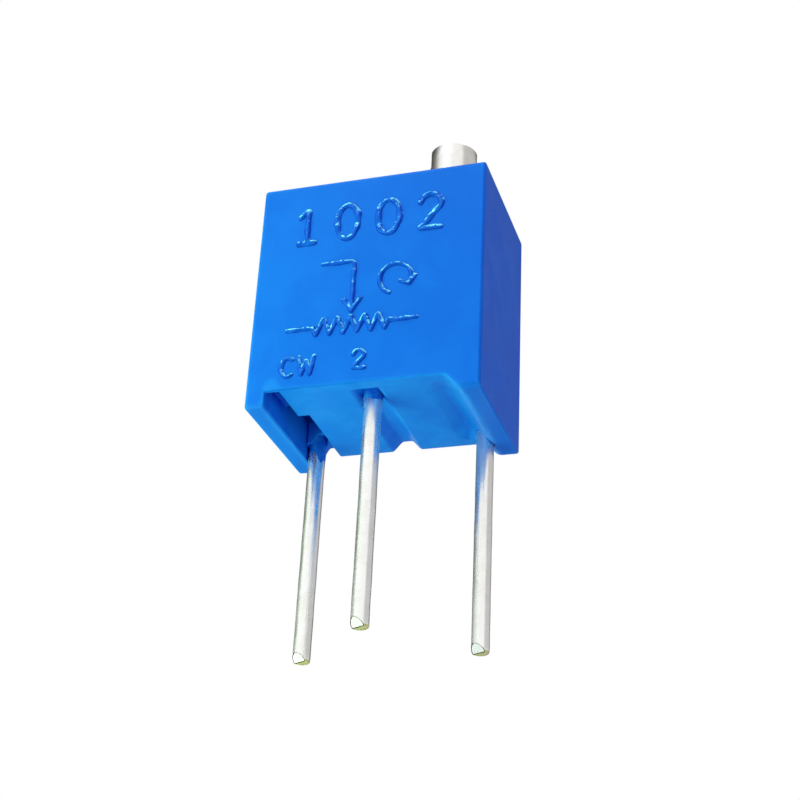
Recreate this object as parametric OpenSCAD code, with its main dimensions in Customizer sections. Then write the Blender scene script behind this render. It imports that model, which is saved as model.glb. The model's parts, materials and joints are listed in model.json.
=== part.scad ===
// Trimmer potentiometer with a top screw and three staggered wire terminals.
// Millimetres, +Z up. The origin is on the middle terminal's axis, in the plane of the
// circuit board under the feet. The front face looks along -Y.

/* [Terminals] */
// Diameter of the terminal wire
pin_d = 0.5; // [0.4:0.05:0.6]
// Diameter of the wire where the base grips it
root_d = 0.54; // [0.5:0.01:0.6]
// Height above the board plane over which the wire thickens to that diameter
root_taper = 0.6; // [0.55:0.05:0.8]
// Distance between neighbouring terminals along the front face
pin_pitch = 2.54; // [2.3:0.01:3]
// Distance of the outer terminals behind the middle one
row_gap = 2.54; // [2.3:0.01:3.5]
// Length of the leads below the board plane
lead_len = 6.1; // [3:0.1:12]
// Angle of the sheared lead tips
tip_angle = 18; // [0:1:30]
// Bend radius of the middle terminal, on its centre line
bend_r = 0.35; // [0.3:0.05:0.6]
// Length of the outer terminals beside the ceramic
pin_rise = 1.4; // [0.8:0.1:2]

/* [Housing] */
// Room between the worm wheel and the top wall
head_room = 0.581; // [0.5:0.001:3]
// Height of the feet
stand_off = 0.45; // [0.3:0.05:0.8]
// Thickness of the side walls, which end in the feet
side_wall = 0.5; // [0.3:0.05:1]
// Thickness of the front wall
front_wall = 0.55; // [0.3:0.05:1]
// Thickness of the back wall
back_wall = 0.45; // [0.3:0.05:1]
// Thickness of the top wall, which carries the screw
top_wall = 0.95; // [0.8:0.05:1.6]
// Rounding of the outer edges
edge_r = 0.1; // [0.05:0.05:0.2]
// Gap between an outer terminal and the side wall
side_gap = 0.045; // [0.02:0.005:0.5]
// Gap between an outer terminal and the back wall
back_gap = 0.04; // [0.02:0.005:0.5]
// Distance from the middle terminal's axis to the inside of the front wall
front_reach = 0.65; // [0.5:0.05:1.5]
// Run of the slope on the inner side of the foot beside terminal 1
foot_run = 0.26; // [0:0.01:0.6]
// Width of each foot past the side wall
foot_skirt = 0.08; // [0.02:0.01:0.2]

/* [Base] */
// Thickness of the base insert above the underside
base_t = 0.85; // [0.75:0.05:1.4]
// Wall left in front of the middle groove
groove_wall = 0.5; // [0.3:0.05:1]
// Width of the middle groove at its mouth
groove_mouth = 0.84; // [0.6:0.02:1.2]
// Width of the middle groove at its ceiling
groove_top = 0.31; // [0.1:0.01:0.5]
// Depth of the middle groove
groove_h = 0.3; // [0.1:0.01:0.4]
// Width of the drain slot beside the CW foot
trough_w = 0.35; // [0.2:0.05:0.5]
// Depth of that slot
trough_h = 0.35; // [0.1:0.05:0.45]
// Plastic left in front of that slot
trough_lip = 0.1; // [0.1:0.05:0.5]
// Width of the pocket that the slot leads into
pocket_w = 0.68; // [0.4:0.01:1]
// Length of that pocket, from front to back
pocket_len = 1.45; // [1:0.05:1.8]
// Depth of that pocket
pocket_h = 0.5; // [0.2:0.05:0.6]
// Plastic left between the pocket and the terminal behind it
pocket_gap = 0.35; // [0.2:0.05:0.6]
// Width, at its mouth, of the notch that drains the pocket through the back wall
notch_mouth = 0.6; // [0.3:0.05:0.8]
// Width of that notch at its ceiling
notch_top = 0.24; // [0.1:0.01:0.5]
// Distance of that notch's middle from the inner wall of the pocket
notch_inset = 0.2; // [0.1:0.05:0.4]
// Width of the shallow recess beside the other foot
recess_w = 0.5; // [0.3:0.05:0.8]
// Length of the shallow recess
recess_len = 2.4; // [1:0.1:2.6]
// Depth of the shallow recess
recess_h = 0.12; // [0.05:0.01:0.3]
// Height of the resin bead at each terminal root
bead_h = 0.3; // [0.1:0.05:0.4]
// How far a resin bead spreads past its wire
bead_spread = 0.16; // [0.05:0.01:0.3]
// Thickness of a resin bead at its thin end
bead_lip = 0.02; // [0.01:0.01:0.05]

/* [Screw] */
// Diameter of the screw head and its shank
screw_d = 1.4; // [1:0.05:1.6]
// How far the head stands above the body
head_h = 1.36; // [0.5:0.01:3]
// Width of the screwdriver slot
slot_w = 0.41; // [0.2:0.01:0.6]
// Depth of the screwdriver slot
slot_h = 0.6; // [0.2:0.05:1]
// Angle of the slot at rest, from the front face
slot_angle = 18; // [0:1:180]
// Chamfer on the rim of the head
rim = 0.08; // [0.02:0.01:0.15]
// Thickness of the collar that holds the screw under the top wall
collar_h = 0.33; // [0.2:0.01:0.6]
// Thickness of the rubber ring
seal_d = 0.27; // [0.2:0.01:0.3]
// Height of the ring's middle above the inside of the top wall
seal_lift = 0.38; // [0.3:0.01:0.5]
// Play of the ring along its seat
seal_play = 0.06; // [0.02:0.01:0.1]
// Radial clearance of the screw in the top wall and in the base
running_gap = 0.04; // [0.02:0.01:0.08]
// End play of the screw
end_play = 0.06; // [0.02:0.01:0.15]
// Depth of the journal pocket in the base
journal_h = 0.35; // [0.2:0.05:0.45]

/* [Worm drive] */
// Tooth positions round the worm wheel, which is also screw turns per wheel turn
tooth_places = 15; // [12:1:18]
// Teeth left out where the wiper passes the ends of the track
blank_teeth = 2; // [0:1:4]
// Advance of the worm in one turn
lead = 0.67; // [0.6:0.01:0.75]
// Pitch radius of the worm
worm_r = 0.62; // [0.55:0.01:0.7]
// Tooth height outside the pitch line
addendum = 0.18; // [0.1:0.01:0.2]
// Tooth height inside the pitch line
dedendum = 0.22; // [0.15:0.01:0.25]
// Thickness of the worm thread at its pitch line
thread_t = 0.29; // [0.2:0.01:0.3]
// Thickness of a wheel tooth at its pitch line
tooth_t = 0.26; // [0.2:0.01:0.28]
// Angle of the tooth flanks
flank = 20; // [15:1:25]
// Turns of thread on the worm
worm_turns = 2.5; // [2:0.5:3]
// Face width of the worm wheel
wheel_w = 0.7; // [0.4:0.05:0.9]
// Gap between the worm and the front wall
worm_front_gap = 0.1; // [0.05:0.01:0.3]
// Gap between the worm and the side wall
worm_side_gap = 0.065; // [0.05:0.005:0.3]
// Gap between the wheel and the wire below it
wheel_gap = 0.15; // [0.1:0.01:0.5]

/* [Rotor] */
// Radius of the moulded boss that the rotor turns on
boss_r = 0.5; // [0.3:0.05:0.7]
// Thickness of the rotor disc behind its teeth
carrier_w = 0.5; // [0.3:0.05:0.6]
// Radius of the rotor disc behind its teeth
carrier_r = 1.25; // [1:0.05:1.3]
// Thickness of the rotor's hub round the boss
hub_wall = 0.26; // [0.2:0.01:0.4]
// Plastic left between the boss hole and the back of the rotor
web = 0.3; // [0.2:0.05:0.4]
// Radius of the heat-staked stud that holds the wiper
stud_r = 0.3; // [0.2:0.05:0.35]
// Height of that stud
stud_h = 0.2; // [0.1:0.05:0.3]

/* [Element] */
// Thickness of the ceramic plate
ceramic_t = 0.6; // [0.4:0.05:0.7]
// Thickness of the printed layers
film = 0.04; // [0.02:0.01:0.06]
// Gap above the ceramic plate
ceramic_gap = 0.3; // [0.1:0.05:1]
// Inner radius of the resistive arc
track_in = 1.15; // [1:0.05:1.2]
// Width of the resistive arc
track_w = 0.35; // [0.25:0.01:0.4]
// Half of the angle that the arc leaves open at the bottom
track_open = 30; // [20:1:40]
// Inner radius of the collector ring
ring_in = 0.35; // [0.3:0.05:0.5]
// Width of the collector ring
ring_w = 0.4; // [0.25:0.01:0.45]
// Width of the collector's tail
tail_w = 0.4; // [0.2:0.05:0.5]
// Width of the soldered part of each end layer
pad_w = 0.6; // [0.5:0.05:0.8]
// Height of the end layers
pad_h = 1.5; // [1.4:0.1:2]
// Height of the end layers above the base
pad_lift = 0.2; // [0.1:0.05:0.4]
// Height of the straps from the end layers to the arc
strap_h = 0.9; // [0.6:0.05:1.2]

/* [Solder] */
// Solder round an outer terminal
solder_skin = 0.03; // [0.01:0.01:0.05]
// How far the solder of an outer terminal spreads over its layer
solder_spread = 0.2; // [0.05:0.05:0.3]
// Height of the solder cone on the middle terminal
solder_cone = 0.3; // [0.2:0.05:0.5]
// Bare layer left below and above that solder
solder_inset = 0.15; // [0.05:0.05:0.4]

/* [Wiper] */
// Thickness of the wiper plate
plate_t = 0.08; // [0.05:0.01:0.12]
// Radius of the wiper plate
plate_r = 1.1; // [1:0.05:1.2]
// Width of each wiper arm
arm_w = 0.26; // [0.15:0.01:0.3]
// Thickness of each wiper arm
arm_t = 0.06; // [0.04:0.01:0.08]
// Run of the sloping part of each arm
arm_run = 0.4; // [0.2:0.05:0.5]
// Length of the flat contact at the end of each arm
contact_len = 0.24; // [0.1:0.01:0.3]

/* [Hidden] */
$fn = 64;
// A hair's gap where a moving piece touches a fixed one
touch = 0.005;
// Overshoot of cutting tools
cut = 1;
// Depth to which the straight foot of a tooth sinks into the round wheel
tooth_sink = 0.02;
// Steps round the worm, and the same number of steps along each turn
worm_steps = 16;

pin_r = pin_d/2;
root_r = root_d/2;
outer_x = pin_pitch;
outer_y = row_gap;
cav_x = outer_x + root_r + side_gap;
cav_front = -front_reach;
cav_back = outer_y + root_r + back_gap;
body_w = 2*(cav_x + side_wall);
body_front = cav_front - front_wall;
body_back = cav_back + back_wall;
body_d = body_back - body_front;
foot_in = cav_x - foot_skirt;
base_top = stand_off + base_t;

screw_r = screw_d/2;
core_r = worm_r - dedendum;
crest_r = worm_r + addendum;
bore_r = screw_r + running_gap;
screw_x = cav_x - worm_side_gap - crest_r;
screw_y = cav_front + worm_front_gap + crest_r;
journal_floor = base_top - journal_h;
seal_mid_r = bore_r - touch - seal_d/2;
seal_seat_r = seal_mid_r - seal_d/2 - touch;

wheel_r = tooth_places*lead/(2*PI);
wheel_top_r = wheel_r + addendum;
wheel_root_r = wheel_r - dedendum;
lead_angle = atan(lead/(2*PI*worm_r));
wire_z = base_top + bend_r;
wheel_x = screw_x - wheel_r - worm_r;
wheel_z = wire_z + root_r + wheel_gap + wheel_top_r;
worm_len = worm_turns*lead;
hub_r = boss_r + running_gap + hub_wall;
wheel_front = screw_y - wheel_w/2;
wheel_back = screw_y + wheel_w/2;
carrier_back = wheel_back + carrier_w;
rotor_front = cav_front + end_play;
boss_end = carrier_back - web - end_play;

ceiling = wheel_z + wheel_top_r + head_room;
body_top = ceiling + top_wall;
head_top = body_top + head_h;
collar_top = ceiling - end_play;
seal_z = ceiling + seal_lift;

pad_back = outer_y - root_r - solder_skin;
ceramic_back = pad_back - film;
ceramic_front = ceramic_back - ceramic_t;
film_front = ceramic_front - film;
ceramic_x = cav_x - film - side_gap;
ceramic_h = ceiling - ceramic_gap - base_top;
pad_z = base_top + pad_lift;
strap_z = pad_z + pad_h - strap_h;

track_out = track_in + track_w;
ring_out = ring_in + ring_w;
plate_back = carrier_back + plate_t;
contact_y = film_front - touch;
track_mid = (track_in + track_out)/2;
ring_mid = (ring_in + ring_out)/2;

// Extrudes an XZ outline along +Y, from y0 to y1
module along_y(y0, y1) {
    translate([0, y1, 0]) rotate([90, 0, 0]) linear_extrude(y1 - y0) children();
}

// Cylinder along +Y, from y0 to y1
module rod_y(x, z, r, y0, y1) {
    translate([x, y1, z]) rotate([90, 0, 0]) cylinder(r = r, h = y1 - y0);
}

// Box between two corners
module block(low, high) {
    translate(low) cube(high - low);
}

// Flat rectangle with round corners, from the origin to size
module round_rect(size, r) {
    translate([r, 0]) square([size.x - 2*r, size.y]);
    translate([0, r]) square([size.x, size.y - 2*r]);
    for (x = [r, size.x - r], y = [r, size.y - r]) translate([x, y]) circle(r);
}

// Block with all its edges rounded, from the origin to size
module round_block(size, r) {
    intersection() {
        linear_extrude(size.z) round_rect([size.x, size.y], r);
        along_y(0, size.y) round_rect([size.x, size.z], r);
        rotate([90, 0, 90]) linear_extrude(size.x) round_rect([size.y, size.z], r);
    }
}

// Space between the feet, with a straight side at the CW foot and a slope at the other
module foot_channel() {
    along_y(body_front - cut, body_back + cut) polygon([[-foot_in, -cut], [foot_in, -cut],
        [foot_in, 0], [foot_in - foot_run, stand_off], [-foot_in, stand_off]]);
}

// Hollow of the housing, open at the bottom
module cavity(top) {
    block([-cav_x, cav_front, -cut], [cav_x, cav_back, top]);
}

// Flared groove in the underside, from y0 out through the back wall
module flared_groove(x, y0, mouth, top) {
    translate([x, 0, 0]) along_y(y0, body_back + cut) polygon([[-mouth/2, stand_off],
        [-mouth/2, -cut], [mouth/2, -cut], [mouth/2, stand_off],
        [top/2, stand_off + groove_h], [-top/2, stand_off + groove_h]]);
}

// Hollows of the underside, which let washing fluid drain out at the back
module drain_grooves() {
    pocket_x = pocket_w - foot_in;
    pocket_back = outer_y - pin_r - pocket_gap;
    recess_x = foot_in - foot_run;
    // Groove round the middle terminal
    flared_groove(0, body_front + groove_wall, groove_mouth, groove_top);
    // Slot beside the CW foot, the pocket that it leads into, and the notch behind that
    block([-foot_in, body_front + trough_lip, -cut],
        [trough_w - foot_in, pocket_back, stand_off + trough_h]);
    block([-foot_in, pocket_back - pocket_len, -cut],
        [pocket_x, pocket_back, stand_off + pocket_h]);
    flared_groove(pocket_x - notch_inset, pocket_back - touch, notch_mouth, notch_top);
    // Shallow recess beside the other foot
    block([recess_x - recess_w, pocket_back - recess_len, -cut],
        [recess_x, pocket_back, stand_off + recess_h]);
}

module housing() {
    color("dodgerblue") {
        difference() {
            translate([-body_w/2, body_front, 0])
                round_block([body_w, body_d, body_top], edge_r);
            foot_channel();
            cavity(ceiling);
            drain_grooves();
            translate([screw_x, screw_y, ceiling - cut]) cylinder(r = bore_r, h = top_wall + 2*cut);
        }
        rod_y(wheel_x, wheel_z, boss_r, cav_front, boss_end);
    }
}

// Base without its terminals, as a plug for the open bottom of the housing
module base_insert() {
    color("royalblue") difference() {
        intersection() {
            cavity(base_top);
            block([-body_w, -body_d, 0], [body_w, 2*body_d, base_top]);
        }
        foot_channel();
        drain_grooves();
        straight_wires(base_top + cut);
        translate([screw_x, screw_y, journal_floor])
            cylinder(r = core_r + running_gap, h = journal_h + cut);
    }
}

// Cone of resin round a wire, from its thin end at z up to the plastic
module bead(x, y, z) {
    translate([x, y, z]) cylinder(r1 = root_r + bead_lip, r2 = root_r + bead_spread, h = bead_h);
}

module root_beads() {
    color("deepskyblue") difference() {
        union() {
            bead(0, 0, stand_off + groove_h - bead_h);
            for (x = [-outer_x, outer_x]) bead(x, outer_y, stand_off - bead_h);
        }
        base_insert();
        housing();
        straight_wires(base_top);
    }
}

// Straight wire from its sheared tip up to a height, thicker where the base grips it
module wire(x, y, top) {
    difference() {
        translate([x, y, 0]) {
            translate([0, 0, -lead_len]) cylinder(r = pin_r, h = lead_len);
            cylinder(r1 = pin_r, r2 = root_r, h = root_taper);
            translate([0, 0, root_taper]) cylinder(r = root_r, h = top - root_taper);
        }
        translate([x - pin_r, y, -lead_len]) rotate([0, -tip_angle, 0])
            block([-cut, -cut, -cut], [2*cut, cut, 0]);
    }
}

// All three wires, as the hole that each one fills
module straight_wires(top) {
    wire(0, 0, top);
    for (x = [-outer_x, outer_x]) wire(x, outer_y, top);
}

module outer_terminal(x) {
    color("silver") wire(x, outer_y, pad_z + pin_rise);
}

module terminal_pin_2() {
    color("silver") {
        wire(0, 0, base_top);
        translate([0, bend_r, base_top]) rotate([90, 0, -90]) rotate([0, 0, 90])
            rotate_extrude(angle = -90) translate([bend_r, 0]) circle(root_r);
        rod_y(0, wire_z, root_r, bend_r, film_front);
    }
}

module ceramic_substrate() {
    color("white") block([-ceramic_x, ceramic_front, base_top],
        [ceramic_x, ceramic_back, base_top + ceramic_h]);
}

// Printed shape on the front of the ceramic, drawn about the rotor's axis
module print() {
    translate([wheel_x, 0, wheel_z]) along_y(film_front, ceramic_front) children();
}

// Sector that the resistive arc leaves open, pointing down
module open_sector() {
    far = 2*track_out;
    polygon([[0, 0], [-far*tan(track_open), -far], [far*tan(track_open), -far]]);
}

module resistive_track() {
    color("dimgray") print() difference() {
        circle(track_out);
        circle(track_in);
        open_sector();
    }
}

module collector_track() {
    pad_half = root_r + solder_spread;
    pad_top = wire_z + root_r + solder_inset - wheel_z;
    pad_low = base_top - wheel_z;
    color("gainsboro") print() difference() {
        union() {
            circle(ring_out);
            translate([-tail_w/2, pad_low]) square([tail_w, -pad_low]);
            translate([-wheel_x - pad_half, pad_low]) square([2*pad_half, pad_top - pad_low]);
        }
        circle(ring_in);
    }
}

// Conductor wrapped round one side of the ceramic, with a strap to the end of the arc
module end_layer(side) {
    inner = ceramic_x - pad_w;
    strap_in = track_out*sin(track_open);
    color("gainsboro") {
        difference() {
            block([min(side*inner, side*(ceramic_x + film)), film_front, pad_z],
                [max(side*inner, side*(ceramic_x + film)), pad_back, pad_z + pad_h]);
            ceramic_substrate();
        }
        difference() {
            along_y(film_front, ceramic_front) polygon([
                [wheel_x + side*strap_in, strap_z], [side*(inner + film), strap_z],
                [side*(inner + film), pad_z + pad_h], [wheel_x + side*strap_in, pad_z + pad_h]]);
            rod_y(wheel_x, wheel_z, track_out, film_front - cut, ceramic_front + cut);
        }
    }
}

// Solder between an outer terminal and the layer on the back of the ceramic
module outer_solder(side) {
    skin = root_r + solder_skin;
    color("lightgray") translate([side*outer_x, 0, pad_z + solder_inset]) difference() {
        linear_extrude(pin_rise - 2*solder_inset) polygon([
            [side*skin, pad_back], [-side*(skin + solder_spread), pad_back],
            [-side*skin, outer_y + skin], [side*skin, outer_y + skin]]);
        translate([0, outer_y, -cut]) cylinder(r = root_r, h = pin_rise + 2*cut);
    }
}

module solder_joint_2() {
    color("lightgray") difference() {
        translate([0, film_front, wire_z]) rotate([90, 0, 0])
            cylinder(r1 = root_r + 2*solder_skin, r2 = root_r + solder_skin, h = solder_cone);
        rod_y(0, wire_z, root_r, 0, film_front + cut);
    }
}

// One straight tooth, tilted to the worm's lead
module tooth(angle) {
    rise = tan(flank);
    root = wheel_root_r - tooth_sink;
    half_root = tooth_t/2 + (wheel_r - root)*rise;
    half_tip = tooth_t/2 - addendum*rise;
    translate([wheel_x, screw_y, wheel_z]) rotate([0, angle, 0]) rotate([-lead_angle, 0, 0])
        along_y(-wheel_w, wheel_w) polygon([[root, -half_root], [wheel_top_r, -half_tip],
            [wheel_top_r, half_tip], [root, half_root]]);
}

module worm_wheel_rotor() {
    last = (tooth_places - blank_teeth - 1)/2;
    color("ivory") difference() {
        union() {
            rod_y(wheel_x, wheel_z, wheel_root_r, wheel_front, wheel_back);
            intersection() {
                for (k = [-last:last]) tooth(k*360/tooth_places);
                rod_y(wheel_x, wheel_z, 2*wheel_r, wheel_front, wheel_back);
            }
            rod_y(wheel_x, wheel_z, hub_r, rotor_front, wheel_front);
            rod_y(wheel_x, wheel_z, carrier_r, wheel_back, carrier_back);
            rod_y(wheel_x, wheel_z, stud_r, carrier_back, carrier_back + stud_h);
        }
        rod_y(wheel_x, wheel_z, boss_r + running_gap, rotor_front - cut, carrier_back - web);
    }
}

// Sprung strip from the wiper plate to a contact at radius mid. It leans outwards
// for a positive lean and inwards for a negative one.
module wiper_arm(mid, lean) {
    half = contact_len/2;
    foot = mid - lean*(half + arm_run);
    inner_y = contact_y - arm_t;
    reach = contact_y - plate_back;
    foot_t = arm_t*norm([reach, arm_run])/reach;
    translate([wheel_x - arm_w/2, 0, wheel_z]) rotate([90, 0, 90]) linear_extrude(arm_w)
        polygon([[plate_back, foot], [contact_y, mid - lean*half], [contact_y, mid + lean*half],
            [inner_y, mid + lean*half], [inner_y, mid - lean*(half - arm_t/2)],
            [plate_back, foot + lean*foot_t]]);
}

module wiper_contact() {
    color("goldenrod") {
        difference() {
            rod_y(wheel_x, wheel_z, plate_r, carrier_back, plate_back);
            rod_y(wheel_x, wheel_z, stud_r + touch, carrier_back - cut, plate_back + cut);
        }
        wiper_arm(track_mid, 1);
        wiper_arm(-ring_mid, 1);
    }
}

// Radius of the worm at an axial distance s from the middle of its thread
function thread_radius(s) =
    let (turn = s/lead - floor(s/lead + 0.5), off = abs(turn)*lead, rise = tan(flank))
    max(core_r, min(crest_r, worm_r + (thread_t/2 - off)/rise));

// Right-hand worm, as rings of points that follow the thread
module worm() {
    rows = round(worm_turns*worm_steps);
    points = [for (j = [0:rows], i = [0:worm_steps - 1])
        let (angle = i*360/worm_steps, z = j*lead/worm_steps - worm_len/2,
            r = thread_radius(z - lead*i/worm_steps))
        [r*cos(angle), r*sin(angle), z]];
    function at(i, j) = j*worm_steps + i % worm_steps;
    sides = [for (j = [0:rows - 1], i = [0:worm_steps - 1])
        each [[at(i, j), at(i + 1, j + 1), at(i + 1, j)],
            [at(i, j), at(i, j + 1), at(i + 1, j + 1)]]];
    ends = [[for (i = [0:worm_steps - 1]) at(i, 0)],
        [for (i = [worm_steps - 1:-1:0]) at(i, rows)]];
    polyhedron(points, concat(sides, ends), convexity = 8);
}

module adjustment_screw() {
    thread_low = wheel_z - worm_len/2;
    thread_high = wheel_z + worm_len/2;
    seat_h = seal_d + seal_play;
    color("lightgray") translate([screw_x, screw_y, 0]) {
        difference() {
            union() {
                translate([0, 0, collar_top]) cylinder(r = screw_r, h = head_top - rim - collar_top);
                translate([0, 0, head_top - rim]) cylinder(r1 = screw_r, r2 = screw_r - rim, h = rim);
            }
            rotate([0, 0, slot_angle]) translate([-screw_d, -slot_w/2, head_top - slot_h])
                cube([2*screw_d, slot_w, slot_h + cut]);
            translate([0, 0, seal_z - seat_h/2]) difference() {
                cylinder(r = screw_d, h = seat_h);
                cylinder(r = seal_seat_r, h = seat_h);
            }
        }
        translate([0, 0, collar_top - collar_h]) cylinder(r = crest_r, h = collar_h);
        translate([0, 0, thread_high])
            cylinder(r = core_r, h = collar_top - collar_h - thread_high);
        translate([0, 0, wheel_z]) worm();
        translate([0, 0, journal_floor + end_play])
            cylinder(r = core_r, h = thread_low - journal_floor - end_play);
    }
}

module screw_seal() {
    color("black") translate([screw_x, screw_y, seal_z])
        rotate_extrude() translate([seal_mid_r, 0]) circle(seal_d/2, $fn = 24);
}

housing();
base_insert();
root_beads();
outer_terminal(outer_x);  // terminal_pin_1
terminal_pin_2();
outer_terminal(-outer_x);  // terminal_pin_3
ceramic_substrate();
resistive_track();
collector_track();
end_layer(1);  // end_layer_1
end_layer(-1);  // end_layer_3
outer_solder(1);  // solder_joint_1
solder_joint_2();
outer_solder(-1);  // solder_joint_3
worm_wheel_rotor();
wiper_contact();
adjustment_screw();
screw_seal();
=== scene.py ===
# %% [markdown]
# # A trimmer potentiometer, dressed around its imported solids
#
# The object is a sealed trimmer of 6.7 mm, with a blue moulded case, three tinned wires
# and a slotted screw on top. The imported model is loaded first. It fixes every place and
# size, so each piece below is built around it, and never the other way round.

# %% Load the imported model
import json
import math

import bmesh
import bpy
from mathutils import Matrix, Vector, noise


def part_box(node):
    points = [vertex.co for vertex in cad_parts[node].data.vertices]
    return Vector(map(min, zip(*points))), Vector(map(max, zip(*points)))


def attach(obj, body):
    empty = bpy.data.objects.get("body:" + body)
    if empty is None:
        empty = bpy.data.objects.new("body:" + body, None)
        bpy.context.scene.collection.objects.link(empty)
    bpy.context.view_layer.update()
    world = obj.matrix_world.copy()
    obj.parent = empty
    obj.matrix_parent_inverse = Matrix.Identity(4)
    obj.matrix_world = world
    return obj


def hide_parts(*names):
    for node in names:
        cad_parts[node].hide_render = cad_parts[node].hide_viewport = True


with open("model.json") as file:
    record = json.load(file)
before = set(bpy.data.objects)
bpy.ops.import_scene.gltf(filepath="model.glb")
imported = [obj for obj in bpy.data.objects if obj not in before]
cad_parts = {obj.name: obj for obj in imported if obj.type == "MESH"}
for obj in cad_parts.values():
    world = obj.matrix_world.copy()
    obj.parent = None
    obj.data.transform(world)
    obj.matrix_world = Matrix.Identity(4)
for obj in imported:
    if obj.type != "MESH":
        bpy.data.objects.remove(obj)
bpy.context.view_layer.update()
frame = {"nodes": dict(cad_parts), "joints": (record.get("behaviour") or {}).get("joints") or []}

# %% [markdown]
# ## Working in millimetres
#
# The scene is in metres, and this part is only a few thousandths of one. Blender's mesh
# tools are happier with numbers near 1, so pieces are made in millimetres, and each one
# is shrunk to metres as the last thing done to it.

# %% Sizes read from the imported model, in millimetres
MM = 0.001


def corners(node):
    """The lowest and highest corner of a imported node, in millimetres."""
    low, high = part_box(node)
    return low / MM, high / MM


body_low, body_high = corners("housing")
plug_low, plug_high = corners("base_insert")
screw_low, screw_high = corners("adjustment_screw")
wire_low, wire_high = corners("terminal_pin_2")

pivot = {joint["name"]: Vector(joint["pos_m"]) / MM for joint in frame["joints"]}
screw_x, screw_y = pivot["screw_turn"].xy
wheel_x, wheel_z = pivot["rotor_turn"].x, pivot["rotor_turn"].z
print("body", [round(v, 3) for v in body_high - body_low], "mm, screw at", screw_x, screw_y)


def add_object(name, data):
    """A new object in the scene, around a mesh, a lamp or a camera."""
    made = bpy.data.objects.new(name, data)
    bpy.context.scene.collection.objects.link(made)
    return made



# %% [markdown]
# ## The camera
#
# The photograph looks up at the part from below and from the right of its front face,
# through a long lens. The camera is placed by the point that it looks at, its distance,
# and three angles. Its own axes are worked out from those, because that also holds the
# slight roll of the picture.

# %% Camera
camera_turn, camera_tip, camera_roll = (math.radians(a) for a in (18.491, -27.034, 2.985))
camera_aim = Vector((0.5154, 0.7818, 0.8188))
camera_distance = 44.488
lens_mm, sensor_mm = 71.56, 36.0

back = Vector((math.sin(camera_turn) * math.cos(camera_tip),
               -math.cos(camera_turn) * math.cos(camera_tip), math.sin(camera_tip)))
level = Vector((math.cos(camera_turn), math.sin(camera_turn), 0))
upright = back.cross(level)
right = math.cos(camera_roll) * level + math.sin(camera_roll) * upright
up = back.cross(right)

camera = add_object("camera", bpy.data.cameras.new("camera"))
camera.data.lens, camera.data.sensor_width = lens_mm, sensor_mm
camera.data.clip_start, camera.data.clip_end = 0.001, 10
camera.matrix_world = Matrix.Translation((camera_aim + camera_distance * back) * MM) @ \
    Matrix((right, up, back)).transposed().to_4x4()
bpy.context.scene.camera = camera
bpy.context.scene.view_settings.view_transform = "Standard"
print("camera at", [round(v, 4) for v in camera.location])

# %% [markdown]
# ## The background and the light
#
# The photograph has a pure white background, so the world is white for the camera, and
# for what metal reflects. A white photograph could also be had by more light, but then
# the part's own colours would fade. The light that falls on the part is weaker and even,
# and a little violet, as the shaded side is in the photograph.

# %% A helper for math nodes
def math_node(tree, operation, first, second, clamp=False):
    """A math node. Each input is a number or another node's output."""
    node = tree.nodes.new("ShaderNodeMath")
    node.operation, node.use_clamp = operation, clamp
    for socket, value in zip(node.inputs, (first, second)):
        if isinstance(value, (int, float)):
            socket.default_value = value
        else:
            tree.links.new(value, socket)
    return node.outputs[0]


# %% World
world = bpy.data.worlds.new("white_room")
bpy.context.scene.world = world
world.use_nodes = True
sky = world.node_tree
sky.nodes.clear()
ambient_colour, ambient_share = (0.8, 0.73, 1.28, 1), 0.5
lit, seen = (sky.nodes.new("ShaderNodeBackground") for _ in range(2))
lit.inputs["Color"].default_value = ambient_colour
lit.inputs["Strength"].default_value = ambient_share
seen.inputs["Color"].default_value = (1, 1, 1, 1)
rays = sky.nodes.new("ShaderNodeLightPath").outputs
looked_at = math_node(sky, "MAXIMUM", rays["Is Camera Ray"], rays["Is Glossy Ray"])
choose = sky.nodes.new("ShaderNodeMixShader")
output = sky.nodes.new("ShaderNodeOutputWorld")
for source, socket in (
        (math_node(sky, "MAXIMUM", looked_at, rays["Is Transmission Ray"]), choose.inputs[0]),
        (lit.outputs[0], choose.inputs[1]), (seen.outputs[0], choose.inputs[2]),
        (choose.outputs[0], output.inputs["Surface"])):
    sky.links.new(source, socket)
print("world:", ambient_share, "of full light from all round")

# %% [markdown]
# ## Soft boxes
#
# Three soft boxes give the part its shape: one in front on the left, one below it and one
# high above. The last gives the raised marks their bright upper edges, so it is the only
# one that metal and gloss may mirror. Each lamp's strength is worked out from its distance,
# so that its share of the light can be read from the script.

# %% Soft boxes
def facing(direction, distance):
    """A place at that distance in millimetres, turned so that its -Z looks at the part."""
    direction = Vector(direction).normalized()
    turn = direction.to_track_quat("Z", "Y").to_matrix().to_4x4()
    return Matrix.Translation((camera_aim + distance * direction) * MM) @ turn


def soft_box(name, direction, distance, size, share, tone=(1, 1, 1), mirrored=False):
    """A square lamp that adds that share of full light to a surface that faces it. Metal
    only mirrors it if it is to give sparkles."""
    lamp = bpy.data.lights.new(name, "AREA")
    lamp.size, lamp.color = size * MM, tone
    lamp.energy = share * (math.pi * distance * MM) ** 2
    box = add_object(name, lamp)
    box.matrix_world = facing(direction, distance)
    box.visible_camera, box.visible_glossy = False, mirrored
    print(name, "gives", share, "of full light")


soft_box("left_front_box", (-0.8, -0.55, 0.02), 26, 14, 0.6, tone=(0.6, 1.28, 0.56))
soft_box("low_box", (-0.72, -0.2, -0.66), 14, 14, 0.5, tone=(1.2, 1.85, 1.04))
soft_box("top_box", (-0.25, -0.5, 0.85), 110, 24, 0.36, tone=(0.5, 0.78, 1.1), mirrored=True)


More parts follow.
